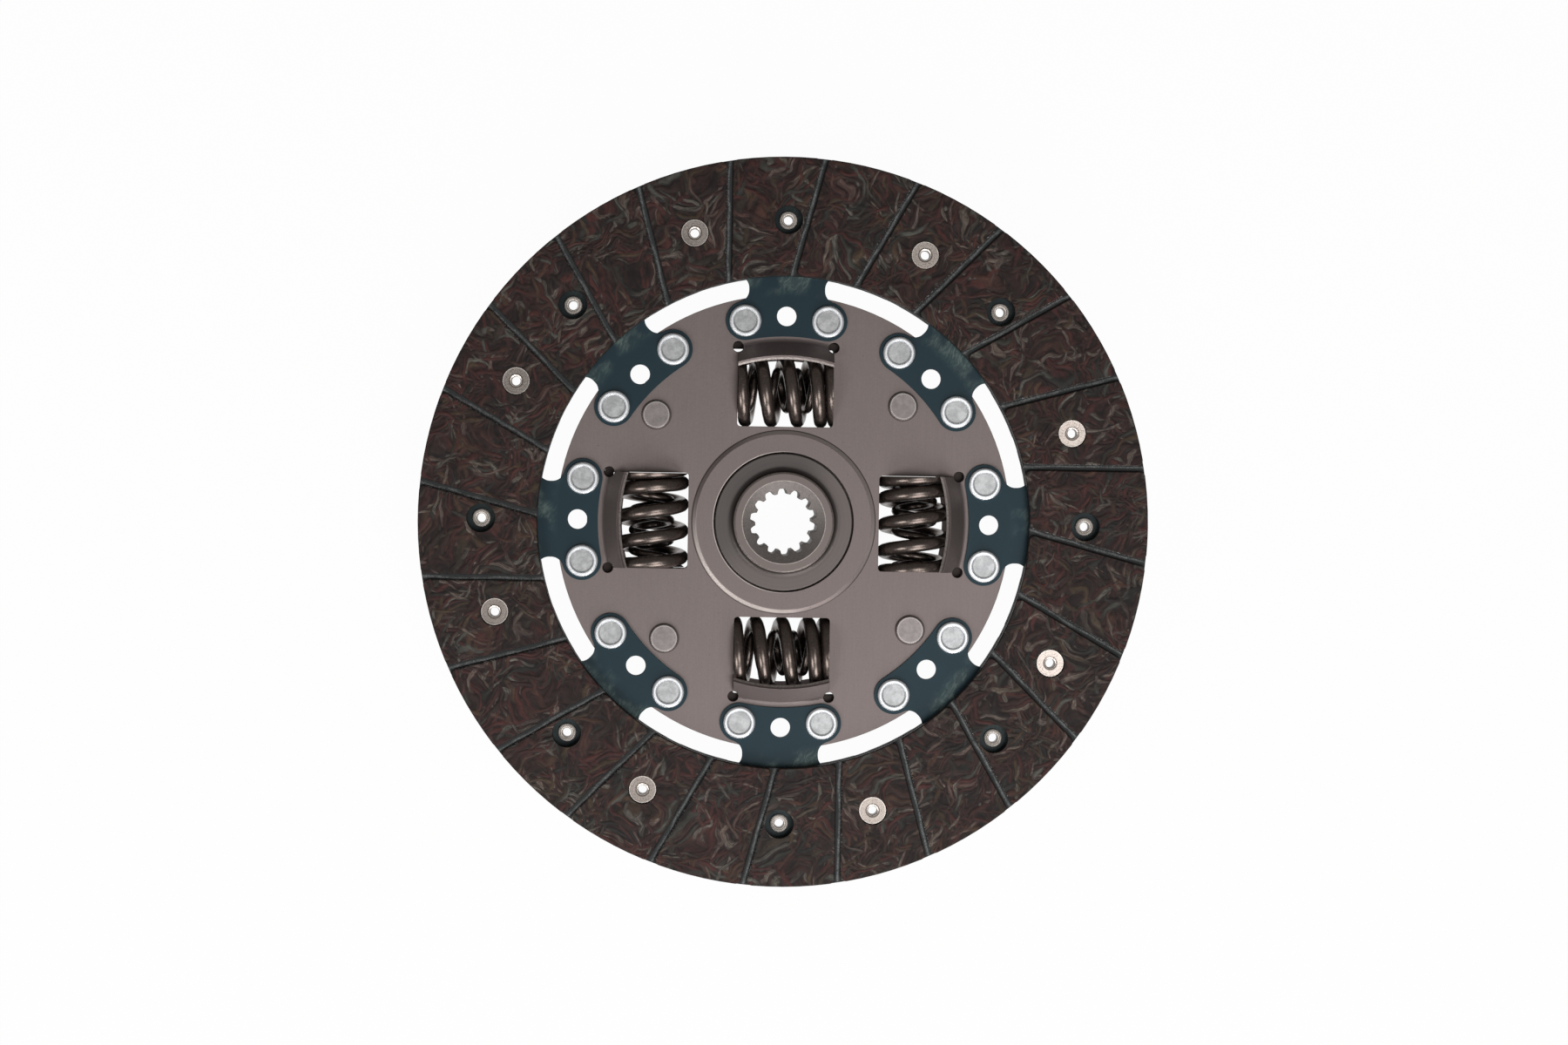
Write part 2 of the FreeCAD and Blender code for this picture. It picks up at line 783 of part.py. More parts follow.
def build():
    rear_friction_z = flange_rear_z - rear_friction_thickness
    support_z = rear_friction_z - support_thickness
    front_ring = facing()
    front_rivets = front_facing_rivets()
    nodes = {
        "hub": hub(),
        "front_plate": front_plate(),
        "rear_plate": rear_plate(),
        "front_facing": front_ring,
        "rear_facing": turned_over(front_ring),
        "front_facing_rivets": Part.makeCompound(front_rivets),
        "rear_facing_rivets": Part.makeCompound([turned_over(rivet) for rivet in front_rivets]),
        "segment_rivets": Part.makeCompound(around(segment_rivet(), segment_rivet_places())),
        "stop_pins": Part.makeCompound(around(stop_pin(), stop_pin_angles)),
        "front_friction_washer": friction_ring(flange_front_z, pocket_front_z),
        "rear_friction_washer": friction_ring(rear_friction_z, flange_rear_z),
        "support_washer": friction_ring(support_z, rear_friction_z),
        "cup_spring": cup_spring(support_z),
        "centring_bush": centring_bush(),
    }
    segment = cushion_segment()
    for index in range(segment_count):
        nodes[f"cushion_segment_{index + 1}"] = turned(segment, index * segment_pitch)
    outer = helical_spring(
        outer_spring_d, outer_spring_wire, outer_spring_turns, outer_spring_closed, 1
    )
    inner = helical_spring(
        inner_spring_d, inner_spring_wire, inner_spring_turns, inner_spring_closed, -1
    )
    for index in range(window_count):
        nodes[f"outer_spring_{index + 1}"] = placed_spring(outer, index)
        nodes[f"inner_spring_{index + 1}"] = placed_spring(inner, index)
    return nodes


os.makedirs("parts", exist_ok=True)
for name, shape in build().items():
    shape.exportStep(f"parts/{name}.step")
    print(name, shape.isValid(), len(shape.Solids), round(shape.Volume, 1))
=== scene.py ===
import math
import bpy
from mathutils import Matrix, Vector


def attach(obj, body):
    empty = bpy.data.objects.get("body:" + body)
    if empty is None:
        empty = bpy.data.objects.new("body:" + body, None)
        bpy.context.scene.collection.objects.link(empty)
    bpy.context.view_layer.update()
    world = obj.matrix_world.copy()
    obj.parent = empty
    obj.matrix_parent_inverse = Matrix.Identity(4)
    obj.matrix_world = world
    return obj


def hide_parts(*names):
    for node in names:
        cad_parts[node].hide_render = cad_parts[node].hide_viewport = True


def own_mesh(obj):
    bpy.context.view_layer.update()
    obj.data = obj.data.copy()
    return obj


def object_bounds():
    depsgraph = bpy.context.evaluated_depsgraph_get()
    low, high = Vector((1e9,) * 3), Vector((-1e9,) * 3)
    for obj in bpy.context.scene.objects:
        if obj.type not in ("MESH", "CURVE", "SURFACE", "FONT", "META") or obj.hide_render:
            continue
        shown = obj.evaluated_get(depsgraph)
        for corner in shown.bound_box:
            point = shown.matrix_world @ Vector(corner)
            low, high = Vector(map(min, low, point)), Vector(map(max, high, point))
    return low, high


bl_info = {
    "name": "Clutch disc",
    "version": (1, 0, 0),
    "blender": (4, 5, 0),
    "location": "3D View > Sidebar > Clutch disc",
    "description": "Dresses a sprung clutch disc and sets its studio",
    "category": "Object",
}

import bpy
from bpy.props import FloatProperty, FloatVectorProperty, IntProperty, PointerProperty
from mathutils import Matrix, Quaternion, Vector

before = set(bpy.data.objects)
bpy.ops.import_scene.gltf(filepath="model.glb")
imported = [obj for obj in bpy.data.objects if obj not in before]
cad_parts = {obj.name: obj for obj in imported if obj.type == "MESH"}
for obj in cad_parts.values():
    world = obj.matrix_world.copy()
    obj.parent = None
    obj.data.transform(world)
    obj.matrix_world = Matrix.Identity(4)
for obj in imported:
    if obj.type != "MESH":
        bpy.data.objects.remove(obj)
cad_box = [list(corner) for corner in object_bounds()]

# One millimetre in metres and one degree in radians
MM = 0.001
DEGREE = math.pi / 180

# Sizes of the solids that the finishes follow, in millimetres and degrees
FACING_OUTER_R = 107.5
FACING_INNER_R = 72.5
FACING_FRONT_Z = 4.2
FACING_TURN = 18.0
GROOVE_COUNT = 24
GROOVE_OFFSET = 17.4
FACING_RIVET_COUNT = 8
FACING_RIVET_R = 89.0
FACING_RIVET_HEAD_R = 4.15
FACING_RIVET_COLLAR_R = 2.65
FACING_RIVET_BORE_R = 1.35
FACING_RIVET_FLARE_R = 1.85
# The two flat heads furthest right, which the rivet finish paints brighter as painted light
RIGHTMOST_FACING_RIVETS = ((FACING_RIVET_R, 18.0), (FACING_RIVET_R, 333.0))
SEGMENT_COUNT = 8
SEGMENT_RIVET_R = 60.6
SEGMENT_RIVET_ANGLE = 11.6
SEGMENT_RIVET_DISH_R = 3.3
PLATE_HOLE_R = 20.75
PLATE_RAISED_TOP_R = 26.0
PLATE_RAISED_FOOT_R = 27.3
LIP_TIP_R = 48.0
STOP_PINS = ((49.2, 45.0), (49.2, 140.6), (49.2, 225.0), (49.2, 320.4))
STOP_PIN_HEAD_R = 4.18
HUB_MOUTH_R = 12.2
HUB_BOSS_R = 14.8
HUB_FRONT_Z = 3.0

# Springs, in millimetres, turns and degrees
SPRING_SIDES = 4
SPRING_CIRCLE_R = 39.0
SPRING_PLANE_Z = -6.25
SPRING_GROUND_LENGTH = 28.0
SPRING_CLOSED_PITCH = 1.025
SPRING_PITCH_BLEND = 0.2
SPRING_TIP_SHARE = 0.18
SPRING_START_TURN = 0.54
SPRING_TURNED = (False, True, True, False)
SPRING_ROLL = (0.0, 12.0, 54.0, 18.0)
SPRING_STEPS_PER_TURN = 48
OUTER_SPRING_CLOSED = (0.8, 1.4)
INNER_SPRING_CLOSED = (1.1, 1.1)
RIGHT_HAND = 1
LEFT_HAND = -1

# Yarn layers: the first one's direction, and a shift that gives each its own strands
YARN_FIRST_ANGLE = 23
YARN_LAYER_SHIFT = 7.3

# Studio, in metres: floor, soft boxes (place and width) and the photo's camera
FLOOR_WIDTH = 6
FLOOR_GAP = 0.0002
SOFT_BOXES = {
    "key": ((0.25, -0.86, 0.50), 0.5),
    "side": ((-0.54, -0.52, 0.66), 0.36),
    "top": ((0.30, -0.35, 1.15), 0.55),
}
CAMERA_FROM_AIM = (-0.030, 0.018, 1.0)
CAMERA_LENS = 78.1
CAMERA_SENSOR = 36
CAMERA_CLIP_START = 0.01
CAMERA_ROLL = 0.9


def tint(red, green, blue):
    """A colour as an image shows it, 0 to 255, turned into light values."""
    values = []
    for part in (red, green, blue):
        share = part / 255
        values.append(share / 12.92 if share <= 0.04045 else ((share + 0.055) / 1.055) ** 2.4)
    return (*values, 1.0)


# Light steel for painted highlights on edges
PAINTED_HIGHLIGHT_STEEL = tint(214, 204, 198)


def colour_property(name, description, red, green, blue):
    return FloatVectorProperty(
        name=name, description=description, subtype="COLOR", size=4, min=0, max=1,
        default=tint(red, green, blue),
    )


def size_property(name, description, default, low, high):
    """A length, given here in millimetres."""
    return FloatProperty(
        name=name, description=description, default=default * MM, min=low * MM, max=high * MM,
        unit="LENGTH",
    )


def turns_property(name, default):
    return FloatProperty(
        name=name, description="Turns from tip to tip", default=default, min=2, max=16
    )


def power_property(name, description, default):
    return FloatProperty(
        name=name, description=description, default=default, min=0, unit="POWER"
    )


class FacingLook(bpy.types.PropertyGroup):
    base: colour_property("Base", "Dark resin between the fibres", 46, 27, 25)
    strand_red: colour_property("Red strand", "Red-brown yarn", 70, 37, 33)
    strand_olive: colour_property("Olive strand", "Olive-brown yarn", 66, 52, 38)
    strand_grey: colour_property("Grey strand", "Grey glass yarn", 82, 81, 75)
    # A painted highlight along the top of each strand
    sheen: colour_property("Sheen", "Light grey along the top of a strand", 124, 117, 108)
    groove: colour_property("Groove", "Dust on the groove floors", 122, 124, 123)
    strand_length: size_property("Strand length", "Length of a strand", 12, 1, 20)
    strand_width: size_property("Strand width", "Width of a strand", 1.9, 0.2, 4)
    strand_bend: size_property("Strand bend", "How far strands curve", 18, 0, 40)
    layers: IntProperty(
        name="Strand layers", description="How many layers of strands cross each other",
        default=5, min=1, max=9,
    )


class MetalLook(bpy.types.PropertyGroup):
    plate: colour_property("Plate", "Damper plate steel", 119, 109, 107)
    hub: colour_property("Hub", "Machined hub steel", 114, 105, 102)
    segment: colour_property("Segment", "Blued segment steel", 15, 41, 50)
    zinc: colour_property("Zinc", "Plated segment rivets", 226, 228, 231)
    facing_rivet: colour_property("Facing rivet", "Plated tubular rivets", 172, 162, 155)
    pin: colour_property("Stop pin", "Stop pin heads", 138, 131, 130)
    spring: colour_property("Spring", "Oil-tempered spring wire", 100, 90, 85)
    support_washer: colour_property("Support washer", "Bright washer steel", 150, 146, 142)
    cup_spring: colour_property("Cup spring", "Blued cup spring steel", 60, 62, 70)
    moulding: colour_property("Mouldings", "Plastic washers and bush", 196, 186, 160)


class SpringSizes(bpy.types.PropertyGroup):
    outer_diameter: size_property("Large spring", "Outside diameter", 22, 10, 40)
    outer_wire: size_property("Large wire", "Wire diameter", 4, 1, 8)
    outer_turns: turns_property("Large turns", 4.95)
    inner_diameter: size_property("Small spring", "Outside diameter", 13.6, 5, 30)
    inner_wire: size_property("Small wire", "Wire diameter", 2.5, 0.5, 6)
    inner_turns: turns_property("Small turns", 6.3)


class StageLook(bpy.types.PropertyGroup):
    floor: colour_property("Floor", "Pale studio floor", 205, 205, 205)
    glow: FloatProperty(
        name="White-out", description="How far the floor shows as plain white",
        default=0.97, min=0, max=1, subtype="FACTOR",
    )
    key: power_property("Key light", "Power of the soft box in front", 6)
    side: power_property("Side light", "Power of the soft box on the left", 3.6)
    top: power_property("Top light", "Power of the wide light overhead", 5.7)
    room: FloatProperty(
        name="Room", description="Strength of the even light from all round", default=0.22, min=0
    )


class Flow:
    """One output of a node; sums and products of flows become Math nodes."""

    def __init__(self, finish, socket):
        self.finish = finish
        self.socket = socket

    def __add__(self, other):
        return self.finish.maths("ADD", self, other)

    def __radd__(self, other):
        return self.finish.maths("ADD", other, self)

    def __sub__(self, other):
        return self.finish.maths("SUBTRACT", self, other)

    def __rsub__(self, other):
        return self.finish.maths("SUBTRACT", other, self)

    def __mul__(self, other):
        return self.finish.maths("MULTIPLY", self, other)

    def __rmul__(self, other):
        return self.finish.maths("MULTIPLY", other, self)

    def __truediv__(self, other):
        return self.finish.maths("DIVIDE", self, other)

    def __rtruediv__(self, other):
        return self.finish.maths("DIVIDE", other, self)

    def __abs__(self):
        return self.finish.maths("ABSOLUTE", self)


class Finish:
    """One material and the nodes that make it; places in it are in millimetres."""

    def __init__(self, name):
        self.material = bpy.data.materials.new(name)
        self.material.use_nodes = True
        self.tree = self.material.node_tree
        self.tree.nodes.clear()
        place = self.node("ShaderNodeTexCoord", output="Object")
        self.mm = self.vector("SCALE", place, scale=1 / MM)
        self.x, self.y, self.z = self.axes(self.mm)
        self.radius = self.length(self.x, self.y)
        self.bearing = self.maths("ARCTAN2", self.y, self.x) * (1 / DEGREE)

    def node(self, kind, settings=None, values=None, output=0):
        made = self.tree.nodes.new(kind)
        for name, value in (settings or {}).items():
            if name == "stops":
                ramp = made.color_ramp.elements
                ramp[0].position, ramp[0].color = value[0]
                ramp[1].position, ramp[1].color = value[-1]
                for position, colour in value[1:-1]:
                    ramp.new(position).color = colour
            else:
                setattr(made, name, value)
        for name, value in (values or {}).items():
            if isinstance(value, Flow):
                self.tree.links.new(value.socket, made.inputs[name])
            else:
                made.inputs[name].default_value = value
        return Flow(self, made.outputs[output]) if len(made.outputs) else None

    def also(self, flow, output):
        """Another output of the node that a flow comes from."""
        return Flow(self, flow.socket.node.outputs[output])

    def maths(self, operation, *values):
        return self.node("ShaderNodeMath", {"operation": operation}, dict(enumerate(values)))

    def larger(self, first, second):
        return self.maths("MAXIMUM", first, second)

    def length(self, x, y):
        return self.maths("SQRT", x * x + y * y)

    def vector(self, operation, *values, scale=None):
        sockets = dict(enumerate(values))
        if scale is not None:
            sockets["Scale"] = scale
        return self.node("ShaderNodeVectorMath", {"operation": operation}, sockets)

    def axes(self, vector):
        x = self.node("ShaderNodeSeparateXYZ", None, {0: vector})
        return x, self.also(x, 1), self.also(x, 2)

    def joined(self, x, y, z):
        return self.node("ShaderNodeCombineXYZ", None, {0: x, 1: y, 2: z})

    def noise(self, vector, scale, detail, roughness, output=0):
        """Grey noise, or three kinds in one vector from output 1."""
        values = {"Vector": vector, "Scale": scale, "Detail": detail, "Roughness": roughness}
        return self.node("ShaderNodeTexNoise", None, values, output)

    def sway(self, place, scale, detail, roughness, reach):
        """A vector that wanders by up to half of reach to each side."""
        wander = self.noise(place, scale, detail, roughness, output=1)
        return self.vector("SCALE", self.vector("SUBTRACT", wander, (0.5, 0.5, 0.5)), scale=reach)

    def cells(self, vector, randomness):
        """How far a point is from the middle of its flat cell, each about 1 wide."""
        values = {"Vector": vector, "Scale": 1.0, "Randomness": randomness}
        return self.node("ShaderNodeTexVoronoi", {"voronoi_dimensions": "2D"}, values)

    def step(self, value, low, high):
        """0 at low, 1 at high, smooth between; low may be the larger."""
        values = {0: value, 1: low, 2: high, 3: 0.0, 4: 1.0}
        if low > high:
            values = {0: value, 1: high, 2: low, 3: 1.0, 4: 0.0}
        return self.node("ShaderNodeMapRange", {"interpolation_type": "SMOOTHSTEP"}, values)

    def band(self, value, start, end, soft):
        """1 between start and end, with soft edges."""
        return self.step(value, start - soft, start) * self.step(value, end + soft, end)

    def mix(self, share, first, second, blend="MIX"):
        settings = {"data_type": "RGBA", "blend_type": blend}
        return self.node("ShaderNodeMix", settings, {0: share, 6: first, 7: second}, 2)

    def mix_values(self, share, first, second):
        return self.node("ShaderNodeMix", {"data_type": "FLOAT"}, {0: share, 2: first, 3: second})

    def brighten(self, colour, amount):
        """The colour times a flow near 1."""
        grey = self.joined(amount, amount, amount)
        return self.mix(1.0, colour, grey, "MULTIPLY")

    def fold(self, angle, count):
        """Degrees from the nearest of so many equal steps round the axis."""
        pitch = 360 / count
        return self.maths("FLOORED_MODULO", angle + pitch / 2, pitch) - pitch / 2

    def off_centre(self, turn, radius):
        """Distance from a centre on that radius; turn is the angle to it in radians."""
        out = self.radius * self.maths("COSINE", turn) - radius
        return self.length(out, self.radius * self.maths("SINE", turn))

    def nearest(self, places):
        """Distance to the nearest of some (radius, angle) places."""
        found = None
        for radius, angle in places:
            out_x = self.x - radius * math.cos(math.radians(angle))
            out_y = self.y - radius * math.sin(math.radians(angle))
            distance = self.length(out_x, out_y)
            found = distance if found is None else self.maths("MINIMUM", found, distance)
        return found

    def bump(self, height, depth, strength, edge=0.0):
        """Bumps as deep as depth; edge rounds the corners of a sheet or turned part."""
        values = {"Height": height, "Distance": depth * MM, "Strength": strength}
        if edge:
            values["Normal"] = self.node("ShaderNodeBevel", {"samples": 4}, {"Radius": edge * MM})
        return self.node("ShaderNodeBump", None, values)

    def surface(self, colour, roughness, metallic, normal, **others):
        values = {"Base Color": colour, "Roughness": roughness, "Metallic": metallic}
        values.update(others, Normal=normal)
        shader = self.node("ShaderNodeBsdfPrincipled", None, values)
        self.node("ShaderNodeOutputMaterial", None, {"Surface": shader})
        return self.material


def dress(material, *names):
    """Gives CAD nodes their finish."""
    for name in names:
        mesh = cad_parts[name].data
        mesh.materials.clear()
        mesh.materials.append(material)


# Finishes


def matted_yarn(f, settings, flat):
    """Colour and height of layers of bent yarn that cross each other in dark resin, each strand
    with painted light and shade.
    """
    bent = f.vector("ADD", flat, f.sway(flat, 0.066, 2.0, 0.4, settings.strand_bend / MM))
    bent = f.vector("ADD", bent, f.sway(flat, 0.5, 1.0, 0.5, 0.6))
    bent_x, bent_y, _ = f.axes(bent)
    mottle = f.noise(flat, 0.9, 3.0, 0.65)
    # Each patch of the ring has another layer on top
    patches = f.axes(f.noise(flat, 0.12, 1.0, 0.5, output=1))
    stops = [
        (0.0, tint(28, 22, 21)), (0.34, settings.strand_red), (0.5, tint(42, 31, 28)),
        (0.66, tint(66, 41, 34)), (0.79, settings.strand_olive), (0.87, tint(36, 34, 32)),
        (0.95, tint(52, 50, 45)), (1.0, settings.strand_grey),
    ]
    colour = f.mix(f.step(mottle, 0.3, 0.62), tint(26, 19, 18), settings.base)
    top = mottle * 0.35
    for index in range(settings.layers):
        turn = math.radians(YARN_FIRST_ANGLE + 180 / settings.layers * index)
        along = bent_x * math.cos(turn) + bent_y * math.sin(turn)
        across = bent_y * math.cos(turn) - bent_x * math.sin(turn)
        place = f.joined(
            along / (settings.strand_length / MM) + YARN_LAYER_SHIFT * index,
            across / (settings.strand_width / MM), 0.0,
        )
        cell = f.cells(place, 0.9)
        dice_red, dice_green, dice_blue = f.axes(f.also(cell, "Color"))
        fibres = f.noise(f.joined(along * 0.55, across * 3.8, 0.0), 1.0, 3.0, 0.65)
        round_top = f.step(cell, 0.64, 0.0)
        lift = round_top * 0.85 + dice_red * 0.7 + patches[index % 3] * 2.0 - 1.0
        above = f.step(lift - top, -0.1, 0.36) * f.step(cell, 0.72, 0.4)
        hue = f.node("ShaderNodeValToRGB", {"stops": stops}, {0: dice_blue})
        # Painted light and shade: each strand is lighter along its round top and darker toward
        # its sides, and its sheen is a painted highlight
        strand = f.brighten(hue, 0.12 + round_top * 0.95 + (fibres - 0.5) * 1.5)
        sheen = f.step(round_top, 0.2, 0.9) * f.step(dice_green, 0.72, 0.96)
        sheen = sheen * (0.15 + f.step(fibres, 0.38, 0.66) * 0.6)
        strand = f.mix(sheen, strand, settings.sheen)
        colour = f.mix(above * 0.9, colour, strand)
        top = f.larger(top, lift)
    shade = f.step(f.noise(flat, 0.16, 2.0, 0.6), 0.3, 0.7)
    return f.brighten(colour, 0.2 + mottle * 0.78 + shade * 0.44), top


def facing_finish(settings):
    """Matted yarn with slate-grey, dusty grooves."""
    f = Finish("friction_facing")
    flat = f.joined(f.x, f.y, 0.0)
    colour, top = matted_yarn(f, settings, flat)
    # Grooves run along chords, at one distance from the axis; the rear ring is turned over
    bearing = f.mix_values(f.step(f.z, -0.1, 0.1), FACING_TURN - f.bearing, f.bearing)
    lean = f.maths("ARCSINE", GROOVE_OFFSET / f.radius) * (1 / DEGREE)
    turn = f.fold(bearing - lean, GROOVE_COUNT)
    reach = f.maths("SQRT", f.radius * f.radius - GROOVE_OFFSET ** 2)
    across = turn * DEGREE * reach
    aside = abs(across)
    in_groove = f.step(abs(f.z), FACING_FRONT_Z - 0.3, FACING_FRONT_Z - 0.9)
    dust = f.noise(flat, 0.9, 4.0, 0.75)
    flecks = f.step(f.noise(flat, 2.4, 2.0, 0.6), 0.44, 0.62)
    settled = f.step(f.noise(flat, 0.28, 2.0, 0.6), 0.36, 0.6)
    # The light crest of dust wanders along the groove and breaks up
    drift = f.step(f.noise(flat, 0.1, 1.0, 0.5), 0.35, 0.65)
    crest = f.step(abs(across - drift * 0.5) + dust * 0.7, 0.95, 0.3)
    crest = crest * (0.1 + settled * 0.38 + flecks * 0.52)
    slate = f.mix(crest, tint(44, 46, 47), settings.groove)
    # Painted shade: the groove floor darkens toward its walls
    slate = f.mix(f.step(aside + dust * 0.5, 0.7, 1.0) * 0.8, slate, tint(24, 24, 25))
    colour = f.mix(f.step(aside + dust * 1.1, 1.85, 1.35) * 0.7, colour, tint(28, 26, 26))
    spill = f.step(aside + dust * 1.4, 1.85, 1.5) * f.step(turn, -0.1, 0.1) * flecks
    colour = f.mix(spill * (0.2 + settled * 0.5), colour, f.brighten(settings.groove, 1.4))
    colour = f.mix(in_groove * 0.94, colour, slate)
    outer_rim = f.step(f.radius, FACING_OUTER_R - 0.4, FACING_OUTER_R - 0.05)
    inner_rim = f.step(f.radius, FACING_INNER_R + 0.4, FACING_INNER_R + 0.05)
    colour = f.mix(f.larger(outer_rim, inner_rim) * 0.7, colour, tint(24, 20, 19))
    normal = f.bump(f.mix_values(in_groove, top, dust * 0.5), 0.2, 0.7)
    return f.surface(colour, 0.62, 0.0, normal, **{"Specular IOR Level": 0.25})


def plate_finish(settings):
    """Cold-rolled steel with a warm tone and fine grain, with painted highlights on edges and
    slopes.
    """
    f = Finish("damper_plate_steel")
    grain = f.noise(f.mm, 1.9, 5.0, 0.8)
    brushed = f.noise(f.joined(f.x * 3.2, f.y * 0.09, f.z), 1.0, 3.0, 0.6)
    clouds = f.noise(f.mm, 0.06, 3.0, 0.55)
    amount = 0.64 + grain * 0.48 + brushed * 0.16 + clouds * 0.12
    colour = f.brighten(settings.plate, amount)
    # Painted shade at the foot of the raised centre and round the pins
    foot = f.band(f.radius, PLATE_RAISED_FOOT_R - 0.3, PLATE_RAISED_FOOT_R - 0.05, 0.12)
    pins = f.band(f.nearest(STOP_PINS), STOP_PIN_HEAD_R - 0.08, STOP_PIN_HEAD_R + 0.17, 0.25)
    colour = f.mix(f.larger(foot, pins) * 0.6, colour, tint(38, 33, 31))
    # Painted highlights on the hole's edge at the left, the lips' cut tips and the lower left of
    # the raised centre's slope, and painted light that lifts the shade on its upper right
    hole = f.band(f.radius, PLATE_HOLE_R + 0.03, PLATE_HOLE_R + 0.17, 0.1)
    hole = hole * f.step(f.x, 6.0, -9.0)
    tips = f.band(f.radius, LIP_TIP_R + 0.1, LIP_TIP_R + 0.55, 0.15)
    tips = tips * f.step(f.z, 0.5, 1.0) * f.step(grain, 0.3, 0.6)
    crest = f.band(f.radius, PLATE_RAISED_TOP_R, PLATE_RAISED_TOP_R + 0.7, 0.35)
    crest = crest * f.step(f.x + f.y, -16.0, -34.0)
    slope = f.band(f.radius, PLATE_RAISED_TOP_R + 0.1, PLATE_RAISED_TOP_R + 1.0, 0.1)
    slope = slope * f.step(f.x + f.y, 4.0, 22.0)
    painted_light = f.larger(f.larger(hole, tips), crest * 0.75 + slope * 0.4)
    colour = f.mix(painted_light * 0.6, colour, PAINTED_HIGHLIGHT_STEEL)
    pits = f.step(f.noise(f.mm, 1.3, 2.0, 0.6), 0.7, 0.78)
    colour = f.mix(pits * 0.45, colour, tint(48, 42, 40))
    rough = 0.42 + grain * 0.12 + clouds * 0.08
    height = grain * 0.6 + brushed * 0.4
    return f.surface(colour, rough, 0.85, f.bump(height, 0.02, 0.5, 0.2))


def hub_finish(settings):
    """Turned and phosphated steel: a satin boss and a granular bore mouth, with painted
    highlights on the boss's edges, painted shade on the shoulder and at the boss's foot, and a
    flange painted dark as shade.
    """
    f = Finish("hub_steel")
    grain = f.noise(f.mm, 3.0, 4.0, 0.7)
    grit = f.noise(f.mm, 3.4, 4.0, 0.8)
    turned = f.noise(f.joined(f.radius * 5.0, f.z * 5.0, 0.0), 1.0, 2.0, 0.6)
    colour = f.brighten(settings.hub, 0.78 + grain * 0.24 + turned * 0.2)
    mouth = f.step(f.radius, HUB_MOUTH_R + 0.1, HUB_MOUTH_R - 0.1)
    gritty = f.mix(f.step(grit, 0.3, 0.7), tint(92, 89, 86), tint(138, 131, 128))
    colour = f.mix(mouth * 0.8, colour, gritty)
    # Painted highlights on the edge of the bore mouth and the rim of the boss
    inner_edge = f.band(f.radius, HUB_MOUTH_R, HUB_MOUTH_R + 0.15, 0.08)
    outer_edge = f.band(f.radius, HUB_BOSS_R - 0.3, HUB_BOSS_R, 0.12)
    face = f.step(f.z, HUB_FRONT_Z - 0.7, HUB_FRONT_Z - 0.4)
    edges = f.larger(inner_edge, outer_edge) * face * f.step(grain, 0.3, 0.6)
    colour = f.mix(edges * 0.55, colour, PAINTED_HIGHLIGHT_STEEL)
    # The shoulder round the boss is a darker grey, and painted shade darkens it more toward the
    # upper left
    shoulder = f.step(f.z, 0.9, 0.5) * f.step(f.radius, HUB_BOSS_R - 0.8, HUB_BOSS_R - 0.2)
    upper = f.step(f.x - f.y, 6.0, -14.0)
    colour = f.mix(shoulder * (0.3 + upper * 0.3), colour, tint(63, 63, 63))
    # Painted shade at the foot of the boss
    foot = f.band(f.radius, HUB_BOSS_R + 0.2, HUB_BOSS_R + 0.8, 1.6) * shoulder
    colour = f.mix(foot * 0.45, colour, tint(44, 40, 38))
    # Painted shade: the flange beyond the plate's hole, seen only through gaps, is painted dark
    flange = f.step(f.radius, PLATE_HOLE_R - 0.15, PLATE_HOLE_R + 0.65)
    colour = f.mix(flange, colour, f.brighten(tint(52, 46, 44), 0.7 + grain * 0.6))
    rough = 0.40 + grain * 0.14 + mouth * 0.12
    height = f.mix_values(mouth, turned * 0.5 + grain * 0.5, grit * 1.4)
    return f.surface(colour, rough, 0.85, f.bump(height, 0.035, 0.6, 0.3))


def segment_finish(settings):
    """Blued spring steel, smudged where it runs under the facing, and painted dark there as
    shade.
    """
    f = Finish("blued_segment_steel")
    clouds = f.noise(f.mm, 0.16, 3.0, 0.55)
    grain = f.noise(f.mm, 4.0, 3.0, 0.6)
    colour = f.brighten(settings.segment, 0.74 + clouds * 0.36 + grain * 0.12)
    curl = f.vector("SCALE", f.noise(f.mm, 0.35, 2.0, 0.5, output=1), scale=2.6)
    curl_x, curl_y, _ = f.axes(f.vector("ADD", f.mm, curl))
    slant = f.joined(curl_x * 1.1 - curl_y * 0.6, curl_x * 0.2 + curl_y * 0.3, 0.0)
    strokes = f.step(f.noise(slant, 1.0, 3.0, 0.65), 0.42, 0.66)
    near_facing = f.step(f.radius, FACING_INNER_R - 6.5, FACING_INNER_R - 1.0)
    smudge = f.step(f.noise(f.mm, 0.11, 2.0, 0.5), 0.42, 0.6) * near_facing
    colour = f.mix(smudge * (0.2 + strokes * 0.5), colour, tint(96, 112, 106))
    # Painted shade where the segments run under the facing and show only through its holes
    under = f.step(f.radius, FACING_INNER_R + 3.5, FACING_INNER_R + 5.5)
    colour = f.mix(under * 0.75, colour, tint(24, 31, 32))
    return f.surface(colour, 0.42 + grain * 0.14, 0.45, f.bump(grain, 0.015, 0.5, 0.15))


